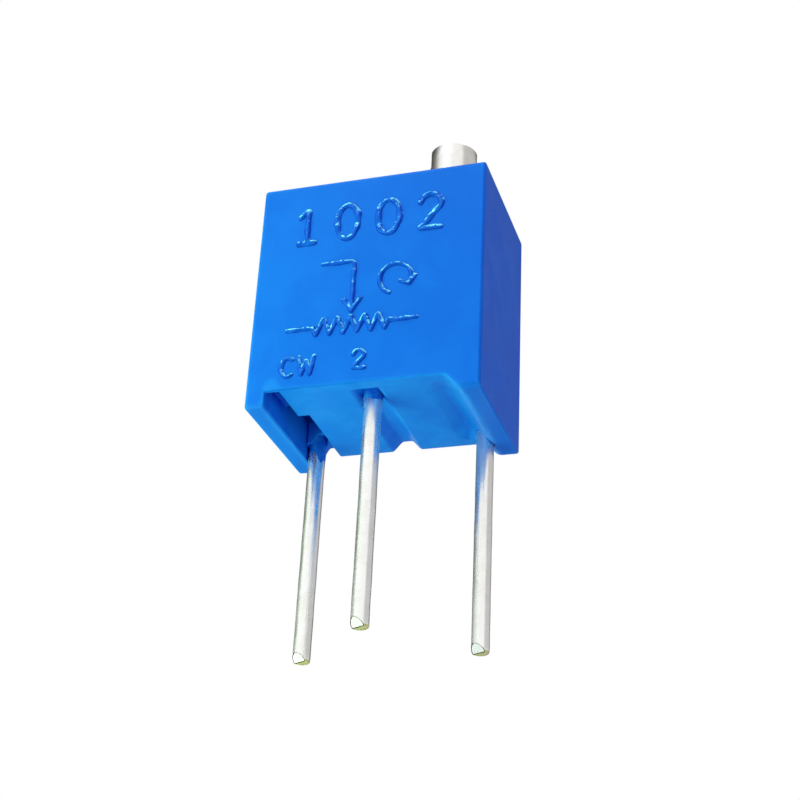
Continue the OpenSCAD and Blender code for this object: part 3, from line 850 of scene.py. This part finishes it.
def rounding_share(edge):
    """How much of the full rounding an edge gets, by where it lies."""
    middle = (edge.verts[0].co + edge.verts[1].co) / 2
    if edge.calc_face_angle(0) < soft_angle:
        return 0
    if (middle.xy - Vector((screw_x, screw_y))).length < bore_radius + near:
        return mouth_share if middle.z > ceiling else 0
    if abs(middle.x) > body_high.x - near or middle.z > stand_off + pocket_rise + 0.1:
        return 1 if middle.z > near else foot_share
    if middle.z < near:
        return slope_share if middle.x > slope_top else foot_share
    if abs(middle.x) < foot_inside - near and not face_y + near < middle.y < body_high.y - near:
        return lip_share
    if middle.x > slope_top - near:
        return slope_share
    if middle.x < pocket_right + near and middle.y < pocket_back + near:
        along = abs(edge.verts[0].co.y - edge.verts[1].co.y)
        return slot_share if along > 0.5 and middle.z < stand_off + near else pocket_share
    if middle.x > trough_edge - near:
        return trough_share
    return groove_share


def weigh_edges(bm):
    """Writes down each edge's share of the rounding, for the bevel."""
    weights = bm.edges.layers.float.new("bevel_weight_edge")
    for edge in bm.edges:
        edge[weights] = rounding_share(edge)
    print("shared solid:", len(bm.faces), "flat faces,", len(bm.edges), "edges")


reshape(shared, weigh_edges)
rounding = shared.modifiers.new("rounding", "BEVEL")
rounding.limit_method, rounding.width, rounding.segments = "WEIGHT", outer_rounding, 4
rounding.use_clamp_overlap = False
settle(shared)
reshape(shared, lambda bm: bmesh.ops.triangulate(bm, faces=bm.faces))
print("rounded solid:", len(shared.data.polygons), "flat triangles")

# %% Cutting the base out of the case
case, base = shared, add_object("base_plug", shared.data.copy())
case.name = "moulded_case"


def hollow_block(name, top):
    """The case's hollow, up to some height."""
    return block(name, (plug_low.x, plug_low.y, -beyond), (plug_high.x, plug_high.y, top))


combine(case, "DIFFERENCE", hollow_block("cavity", ceiling))
combine(case, "UNION", prism("boss", circle((wheel_x, wheel_z), boss_radius), plug_low.y - 0.1,
                             plug_low.y + boss_length))
combine(base, "INTERSECT", hollow_block("plug", plug_high.z))
wire_places = {"1": outer_wire, "2": Vector((0, 0)), "3": Vector((-outer_wire.x, outer_wire.y))}
grip_radius, journal_radius, journal_depth = 0.27, 0.44, 0.35
combine(base, "DIFFERENCE",
        *(prism("wire_hole", circle(place, grip_radius, 48), -beyond, plug_high.z + beyond,
                axis="Z") for place in wire_places.values()),
        prism("journal", circle((screw_x, screw_y), journal_radius, 48),
              plug_high.z - journal_depth, plug_high.z + beyond, axis="Z"))

# %% [markdown]
# ### Ejector marks, and the painted light and shade of the underside
#
# Pins push a moulding out of its mould, and leave faint round steps on the side that
# nobody looks at, here the back. They are real, shallow cuts. The underside of the case
# gets the base's blue, which is painted lighter as if lit from below, and the faces deep
# in the pocket get a darker blue, which is painted shade. Finishes can be given face by
# face, so no piece is split.

# %% Ejector marks and finishes of case and base
ejector_radius, ejector_depth = 0.5, 0.025
combine(case, "DIFFERENCE",
        *(prism("ejector_mark", circle(place, ejector_radius), body_high.y - ejector_depth,
                body_high.y + beyond) for place in ((-2.2, 5.9), (2.2, 5.9), (0, 2.1))))
for part in (case, base):
    clean(part, flat_degrees=0.05)
finish_piece(case, case_blue, "case", "housing_plastic", "housing", sharp_degrees=42)
# The case's faces that point down get the underside blue, which is painted lighter as if lit from
# below.
case.data.materials.append(underside_blue_painted_lit)
for face in case.data.polygons:
    below = face.center.z < (stand_off + pocket_rise) * MM and face.normal.z < -0.3
    face.material_index = int(below and abs(face.center.x) < foot_inside * MM)
finish_piece(base, underside_blue_painted_lit, "case", "base_plastic", "base_insert", sharp_degrees=42)
# The faces deep in the pocket get the darker blue, which is painted shade.
base.data.materials.append(pocket_blue_painted_shade)
for face in base.data.polygons:
    x, y, z = face.center / MM
    in_pocket = x < pocket_right + near and pocket_back - pocket_length - near < y < pocket_back
    face.material_index = int(in_pocket and stand_off + slot_rise * 0.5 < z < plug_high.z - near)

# %% [markdown]
# ## Raised marks
#
# The marks on the front were cut into the mould by hand, so they stand proud as soft
# ridges that vary a little. Text objects or swept curves would cross themselves at sharp
# turns. A relief doesn't: a fine grid is laid over the strokes, and each of its points
# rises by how near it is to a stroke. Its rim dips into the face, where nobody sees it.
# The marks are plain ones: a resistance code, the symbol of a potentiometer, an arrow
# for the turning direction, CW at the end that a clockwise turn leads to, and 2 at the
# middle wire.

# %% Paths
def resample(points, step):
    """The same path with points no further than step apart."""
    out = [Vector(points[0])]
    for a, b in zip(points, points[1:]):
        a, b = Vector(a), Vector(b)
        count = max(1, math.ceil((b - a).length / step))
        out += [a.lerp(b, i / count) for i in range(1, count + 1)]
    return out


def soft_corners(points, reach):
    """The same path with each corner cut by a short curve."""
    out = [Vector(points[0])]
    for a, b, c in zip(points, points[1:], points[2:]):
        a, b, c = Vector(a), Vector(b), Vector(c)
        start = b.lerp(a, min(0.5, reach / (a - b).length))
        end = b.lerp(c, min(0.5, reach / (c - b).length))
        out += [start.lerp(b, t).lerp(b.lerp(end, t), t) for t in (0, 0.25, 0.5, 0.75, 1)]
    return [tuple(p) for p in out + [Vector(points[-1])]]


# %% Distance to the strokes
cell = 0.02


def distances(strokes, reach):
    """How far each grid point within reach is from the nearest stroke."""
    near = {}
    for stroke in strokes:
        points = resample(stroke, 0.1)
        for a, b in zip(points, points[1:]):
            along = b - a
            spans = [range(math.floor((min(p, q) - reach) / cell),
                           math.ceil((max(p, q) + reach) / cell) + 1)
                     for p, q in ((a.x, b.x), (a.y, b.y))]
            for i in spans[0]:
                for j in spans[1]:
                    off = Vector((i * cell, j * cell)) - a
                    share = max(0, min(1, off.dot(along) / along.length_squared))
                    distance = (off - share * along).length
                    if distance < near.get((i, j), reach):
                        near[i, j] = distance
    return near


# %% Relief along the strokes
sink, rim_sink = 0.06, 0.036
width_wander, height_wander = (0.4, 3.1, 5), (0.6, 3.9, 9)
usual_height, roundness, reach_share = 0.84, 2.6, 0.68


def wander(x, z, wandering):
    """A slow change from place to place. It has an amount, how often it turns, and a start."""
    amount, often, start = wandering
    return amount * noise.noise(Vector((x * often, z * often, start)))


def relief(name, strokes, width, height):
    """One closed piece whose top follows the strokes, and whose rim lies in the face."""
    near = distances(strokes, width * reach_share)
    bm = bmesh.new()
    top, under = {}, {}
    for (i, j), distance in near.items():
        x, z = i * cell, j * cell
        half_width = width / 2 * (1 + wander(x, z, width_wander))
        tall = usual_height + wander(x, z, height_wander)
        rise = height * tall * (1 - (distance / half_width) ** roundness)
        rise = min(mark_height, max(rise, -rim_sink))
        top[i, j] = bm.verts.new((x, face_y - rise, z))
        under[i, j] = bm.verts.new((x, face_y + sink, z))
    sides = {}
    for i, j in near:
        ring = [(i, j), (i + 1, j), (i + 1, j + 1), (i, j + 1)]
        if all(spot in near for spot in ring):
            bm.faces.new([top[spot] for spot in ring])
            bm.faces.new([under[spot] for spot in reversed(ring)])
            for one, two in zip(ring, ring[1:] + ring[:1]):
                if (two, one) in sides:
                    del sides[two, one]
                else:
                    sides[one, two] = True
    for one, two in sides:
        bm.faces.new((top[two], top[one], under[one], under[two]))
    bmesh.ops.delete(bm, geom=[v for v in bm.verts if not v.link_faces], context="VERTS")
    finish_piece(new_object(name, bm), mark_blue_with_painted_light, "case", "housing_plastic",
                 sharp_degrees=80, weighted=False)


# %% Curves for the characters
def arc(centre, radius, start, end, steps=24, squeeze=1.0):
    """Points on an arc. squeeze makes it narrower than it is high."""
    angles = [math.radians(start + (end - start) * i / steps) for i in range(steps + 1)]
    return [(centre[0] + radius * squeeze * math.cos(angle),
             centre[1] + radius * math.sin(angle)) for angle in angles]


# %% The characters, each drawn in a cell one unit high and 0.6 wide
def placed(strokes, x, z, height):
    """Moves strokes from their cell to the face. x is the middle of the cell."""
    return [[(x + (a - 0.3) * height, z + b * height) for a, b in stroke] for stroke in strokes]


oval = arc((0.3, 0.5), 0.5, 90, 450, 40, squeeze=0.56)
oval[-1] = oval[0]
characters = {
    "0": [oval],
    "1": [soft_corners([(0.1, 0.78), (0.32, 1.0), (0.32, 0.0)], 0.08),
          [(0.12, 0.0), (0.52, 0.0)]],
    "2": [arc((0.3, 0.73), 0.27, 170, -30, 18) +
          soft_corners([(0.5, 0.56), (0.04, 0.0), (0.58, 0.0)], 0.05)],
    "C": [arc((0.34, 0.5), 0.5, 52, 308, 28, squeeze=0.66)],
    "W": [soft_corners([(-0.1, 1.0), (0.1, 0.0), (0.3, 0.8), (0.5, 0.0), (0.7, 1.0)], 0.06)]}

# %% Raised code
code_bottom, code_height, code_first, code_pitch = 5.14, 1.13, -1.92, 1.23
code = [stroke for i, character in enumerate("1002") for stroke in
        placed(characters[character], code_first + i * code_pitch, code_bottom, code_height)]
relief("raised_code", code, 0.19, mark_height)

# %% Raised symbol of a potentiometer
zigzag_z, zigzag_rise, zigzag_start, zigzag_step = 2.3, 0.26, -1.5, 0.2
zigzag_count, lead_left, lead_right = 11, 0.75, 0.8
zigzag_end = zigzag_start + zigzag_count * zigzag_step
zigzag = [(zigzag_start - lead_left, zigzag_z), (zigzag_start, zigzag_z)] + [
    (zigzag_start + (i + 0.5) * zigzag_step, zigzag_z + (zigzag_rise if i % 2 else -zigzag_rise))
    for i in range(zigzag_count)] + [(zigzag_end, zigzag_z), (zigzag_end + lead_right, zigzag_z)]
tap_x, tap_low, tap_high, tap_run = -0.4, 2.72, 4.35, 0.95
barb_wide, barb_high = 0.24, 0.38
symbol = [soft_corners(zigzag, 0.04),
          soft_corners([(tap_x - tap_run, tap_high), (tap_x, tap_high),
                        (tap_x, tap_low + 0.1)], 0.12),
          soft_corners([(tap_x - barb_wide, tap_low + barb_high), (tap_x, tap_low),
                        (tap_x + barb_wide, tap_low + barb_high)], 0.02)]
relief("raised_symbol", symbol, 0.15, mark_height)

# %% Raised arrow and terminal marks
turn = arc((0.84, 3.62), 0.47, 250, -30, 36)
turn_x, turn_z = turn[-1]
relief("raised_turn_arrow",
       [turn, [(turn_x - 0.26, turn_z + 0.12), (turn_x, turn_z), (turn_x + 0.16, turn_z + 0.26)]],
       0.14, mark_height)
relief("raised_terminal_marks",
       placed(characters["C"], -2.17, 0.84, 0.58) + placed(characters["W"], -1.62, 0.84, 0.58) +
       placed(characters["2"], -0.1, 0.9, 0.56), 0.14, 0.052)


# %% [markdown]
# ## The wires
#
# The terminals are round copper wires dipped in tin, cut off with a shear. The dip leaves
# the surface slightly wavy. The shear leaves a slanted, bright facet on one side of the
# end, and bare metal on the other side. Each wire is a tube swept through rings of points,
# because then the waves are only small moves of those points. A plane cuts the facet.
# Inside the case the middle wire bends back to meet the ceramic.

# %% Tube through rings
def add_tube(bm, centres, radii, steps=40):
    """A closed tube. Each ring stands square to the path. Returns the rings."""
    rings, side = [], Vector((1, 0, 0))
    for i, (centre, radius) in enumerate(zip(centres, radii)):
        along = (centres[min(i + 1, len(centres) - 1)] - centres[max(i - 1, 0)]).normalized()
        side = (side - along * side.dot(along)).normalized()
        other = along.cross(side)
        rings.append([bm.verts.new(centre + radius * (
            side * math.cos(math.tau * k / steps) + other * math.sin(math.tau * k / steps)))
            for k in range(steps)])
    join_rings(bm, rings)
    return rings


# %% The path of a wire
lead_length = -wire_low.z
wire_radius = 0.25
taper_top = 0.6
tip_spots = [0, 0.012, 0.03, 0.06, 0.12, 0.2, 0.3]


def wire_centres(place, top, bend=None):
    """Points along a wire from its tip up, with the middle wire's bend to the ceramic."""
    spots = tip_spots + [0.4 + 0.1 * i for i in range(57)]
    heights = [-lead_length + s for s in spots if s < lead_length] + [
        taper_top * i / 4 for i in range(5)]
    points = [Vector((place.x, place.y, z)) for z in heights]
    if bend is None:
        return points + [Vector((place.x, place.y, z)) for z in (1.0, 1.6, 2.2, top)]
    corner = Vector((place.x, place.y + bend, top - bend))
    points += [Vector((place.x, place.y, z)) for z in (0.9, top - bend)]
    points += [corner + Vector((0, -bend * math.cos(a), bend * math.sin(a)))
               for a in (math.radians(10 * i) for i in range(1, 10))]
    return points


# %% The waves of the tin, and the sheared end
wave_height, waves_below = 0.007, -0.1
end_insets = (0.05, 0.025, 0.01, 0.003)
facet_normal = Vector((-0.35, -0.68, -0.645)).normalized()
facet_reach, rim_width = 0.03, 0.028


def outwards(vert, place):
    """From a wire's axis to one of its points."""
    return Vector((vert.co.x - place.x, vert.co.y - place.y, 0))


def wave_and_round(rings, radii, place, seed):
    """Moves the points of the rings: small waves along the wire, and a rounded end."""
    for ring, radius in zip(rings, radii):
        for vert in ring:
            if vert.co.z > waves_below:
                continue
            wave = noise.noise(Vector((vert.co.x * 3, vert.co.y * 3, vert.co.z * 1.3 + seed)))
            vert.co += outwards(vert, place) / radius * wave * wave_height * min(1, -vert.co.z)
    for ring, inset in zip(rings, end_insets):
        for vert in ring:
            vert.co -= outwards(vert, place).normalized() * inset


def cut_facet(bm, place):
    """Cuts the slanted facet at the wire's end, with a narrow rim round it."""
    end_middle = Vector((place.x, place.y, -lead_length))
    cut = bmesh.ops.bisect_plane(
        bm, geom=bm.verts[:] + bm.edges[:] + bm.faces[:], dist=1e-5, clear_outer=True,
        plane_co=end_middle + facet_normal * facet_reach, plane_no=facet_normal)
    facet = bmesh.ops.edgeloop_fill(
        bm, edges=[part for part in cut["geom_cut"] if isinstance(part, bmesh.types.BMEdge)])
    bmesh.ops.inset_individual(bm, faces=facet["faces"], thickness=rim_width,
                               use_even_offset=False)


# %% One terminal wire
# The painted dark rim goes round the facet and down the left side of the rounded end. The facet
# itself gets the near-white tin, which is a painted reflection.
tin, copper, painted_rim, bright = range(4)
end_depth, rounded_height, painted_rim_height = 0.001, 0.05, 0.1
painted_rim_side, copper_side = -0.15, 0.12


def end_finish(face, place):
    """Which finish a face at the wire's end has."""
    across = face.center.x / MM - place.x
    above = face.center.z / MM + lead_length
    if face.normal.dot(facet_normal) > 0.999:
        rim = painted_rim if above < painted_rim_height or across < painted_rim_side else tin
        return bright if len(face.vertices) > 4 else rim
    if above < end_depth:
        return copper
    if above < rounded_height:
        return copper if across > copper_side else painted_rim
    return tin


def terminal(name, place, top, seed, bend=None, run=None):
    """A tinned wire with its wavy dip and sheared tip."""
    centres = wire_centres(place, top, bend)
    if run:
        centres += [Vector((place.x, y, top)) for y in (run * 0.6, run)]
    radii = [wire_radius + (grip_radius - wire_radius) * max(0, min(1, p.z / taper_top))
             if not bend or p.y < 0.01 else grip_radius for p in centres]
    bm = bmesh.new()
    wave_and_round(add_tube(bm, centres, radii), radii, place, seed)
    cut_facet(bm, place)
    piece = finish_piece(new_object("wire_" + name, bm), tinned_wire, "case", "tinned_wire",
                         "terminal_pin_" + name, sharp_degrees=30, weighted=False)
    for finish in (cut_copper, painted_dark_rim, sheared_tin_painted_bright):
        piece.data.materials.append(finish)
    for face in piece.data.polygons:
        face.material_index = end_finish(face, place)


pin_top = corners("terminal_pin_1")[1].z
for name, place in wire_places.items():
    if name == "2":
        terminal(name, place, wire_high.z - grip_radius, seed=3.1, bend=0.35, run=wire_high.y)
    else:
        terminal(name, place, pin_top, seed=7.7 * int(name))


# %% [markdown]
# ## Resin at the wire roots
#
# The sealing resin creeps down each wire before it sets, so it ends in a hollow fillet
# with thin tongues that follow the wire. A bevel between base and wire would be the same
# all round, and metaballs are hard to steer. So the fillet is a grid with two directions,
# round the wire and down along it. Its radius falls off quickly at first and then slowly.

# %% Resin collars
skin, buried, into_wire = 0.012, 0.03, 0.006
down_curve, fillet_curve, ripple_share = 1.3, 3.2, 0.25


def add_collar(bm, place, top, spread_mm, length, tongues, steps=72, rows=18):
    """A closed collar round a wire. Each tongue is an angle, a half width and a length."""
    def point(angle, radius, z):
        return bm.verts.new((place.x + radius * math.cos(angle),
                             place.y + radius * math.sin(angle), z))
    angles = [math.tau * k / steps for k in range(steps)]
    outer = []
    for j in range(rows + 1):
        t = j / rows
        outer.append([])
        for angle in angles:
            reach = length
            for middle, half_width, extra in tongues:
                off = (angle - math.radians(middle) + math.pi) % math.tau - math.pi
                reach += extra * math.exp(-(off / math.radians(half_width)) ** 2)
            z = top - reach * t ** down_curve
            bare = wire_radius + (grip_radius - wire_radius) * max(0, min(1, z / taper_top))
            ripple = noise.noise(Vector((math.cos(angle) * 2, math.sin(angle) * 2, z * 3)))
            fillet = spread_mm * (1 - t) ** fillet_curve * (1 + ripple_share * ripple)
            outer[-1].append(point(
                angle, bare + fillet + skin * (1 - t ** 4) - into_wire * t ** 4, z))
    inner = [[point(angle, wire_radius - buried, vert.co.z) for angle, vert in zip(angles, ring)]
             for ring in (outer[0], outer[-1])]
    join_rings(bm, [inner[0], *outer, inner[1], inner[0]])


bm = bmesh.new()
hidden_top = stand_off + groove_rise + 0.03
add_collar(bm, wire_places["1"], hidden_top, 0.1, 0.4, [(-40, 16, 0.4), (160, 30, 0.3)])
add_collar(bm, wire_places["2"], hidden_top, 0.1, 0.36, [(-60, 40, 0.08)])
add_collar(bm, wire_places["3"], hidden_top + 0.2, 0.02, 0.85, [(-40, 30, 0.4), (20, 24, 0.5)])
finish_piece(new_object("resin_collars", bm), resin_blue, "case", "sealing_resin", "root_beads",
             sharp_degrees=70, weighted=False)

# %% [markdown]
# ## The screw
#
# The screw is one turned piece with a slotted head, a shank with a groove for the seal, a
# collar that keeps it in, and a worm. Its surface is a grid of rings round the axis, and
# the radius of each point is a function of its height and, on the worm, of its angle too.
# A screw modifier could sweep the thread, but it would not run into the shank as cleanly.
# The slot is cut last, with a tool that is as wide as the screwdriver's blade needs.

# %% Radius of the screw
head_radius, head_rim = 0.7, 0.08
core_radius, crest_radius, worm_radius = 0.4, 0.8, 0.62
collar_height, end_play = 0.33, 0.06
seat_radius, seat_lift, seat_height = 0.46, 0.38, 0.33
lead, worm_turns, thread_width, flank = 0.67, 2.5, 0.29, math.tan(math.radians(20))
slot_wide, slot_deep, slot_angle = 0.41, 0.6, math.radians(18)
collar_top, edge_break, worm_gap = ceiling - end_play, 0.03, 0.02
worm_low, worm_high = wheel_z - worm_turns * lead / 2, wheel_z + worm_turns * lead / 2


def worm_at(z, angle):
    """Radius of the right-hand worm at a height and an angle."""
    turn = (z - wheel_z) / lead - angle / math.tau
    off = abs(turn - round(turn)) * lead
    return max(core_radius, min(crest_radius, worm_radius + (thread_width / 2 - off) / flank))


def ring_radii(steps):
    """Every ring of the screw from the bottom up, as its height and its radii."""
    def plain(z, radius):
        return z, [radius] * steps
    tip = screw_low.z
    rings = [plain(tip, core_radius - 0.05), plain(tip + 0.05, core_radius),
             plain(worm_low - worm_gap, core_radius)]
    rows = 64
    for j in range(rows + 1):
        z = worm_low + (worm_high - worm_low) * j / rows
        rings.append((z, [worm_at(z, math.tau * k / steps) for k in range(steps)]))
    collar_low = collar_top - collar_height
    seat, top = ceiling + seat_lift - seat_height / 2, screw_high.z
    return rings + [plain(z, radius) for z, radius in (
        (worm_high + worm_gap, core_radius), (collar_low, core_radius),
        (collar_low, crest_radius - edge_break), (collar_low + edge_break, crest_radius),
        (collar_top - edge_break, crest_radius), (collar_top, crest_radius - edge_break),
        (collar_top, head_radius), (seat, head_radius), (seat, seat_radius),
        (seat + seat_height, seat_radius), (seat + seat_height, head_radius),
        (body_high.z, head_radius), (body_high.z + 0.5, head_radius),
        (top - 0.35, head_radius), (top - head_rim, head_radius),
        (top - head_rim * 0.45, head_radius - head_rim * 0.16),
        (top - head_rim * 0.12, head_radius - head_rim * 0.6),
        (top, head_radius - head_rim * 1.2))]


# %% The screw's mesh and its slot
steps = 96
bm = bmesh.new()
rings = [[bm.verts.new((screw_x + radius * math.cos(math.tau * k / steps),
                        screw_y + radius * math.sin(math.tau * k / steps), z))
          for k, radius in enumerate(radii)] for z, radii in ring_radii(steps)]
join_rings(bm, rings)
screw = new_object("slotted_screw", bm)

slot_floor, lip, blade_reach, top = screw_high.z - slot_deep, 0.022, 1.5, screw_high.z
half, wide_half = slot_wide / 2, slot_wide / 2 + 2 * lip
blade = prism("blade", [(-half, slot_floor), (half, slot_floor), (half, top - lip),
                        (wide_half, top + lip), (-wide_half, top + lip), (-half, top - lip)],
              -blade_reach, blade_reach)
blade.data.transform(Matrix.Translation((screw_x, screw_y, 0)) @
                     Matrix.Rotation(slot_angle - math.pi / 2, 4, "Z"))
combine(screw, "DIFFERENCE", blade)
finish_piece(screw, nickel, "screw", "plated_brass", "adjustment_screw", sharp_degrees=35)

# %% [markdown]
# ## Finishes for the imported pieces
#
# The sealed pieces inside have the right shapes already. They only get their finishes,
# through the object's own slot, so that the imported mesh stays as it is.

# %% Finishes by node
finishes = {
    "ceramic_substrate": ceramic, "resistive_track": resistive_ink,
    "collector_track": silver_ink, "end_layer_1": silver_ink, "end_layer_3": silver_ink,
    "solder_joint_1": solder, "solder_joint_2": solder, "solder_joint_3": solder,
    "worm_wheel_rotor": rotor_plastic, "wiper_contact": spring_bronze,
    "screw_seal": seal_rubber}
for node, finish in finishes.items():
    slot = frame["nodes"][node].material_slots[0]
    slot.link, slot.material = "OBJECT", finish
print("finished", len(finishes), "packed nodes")
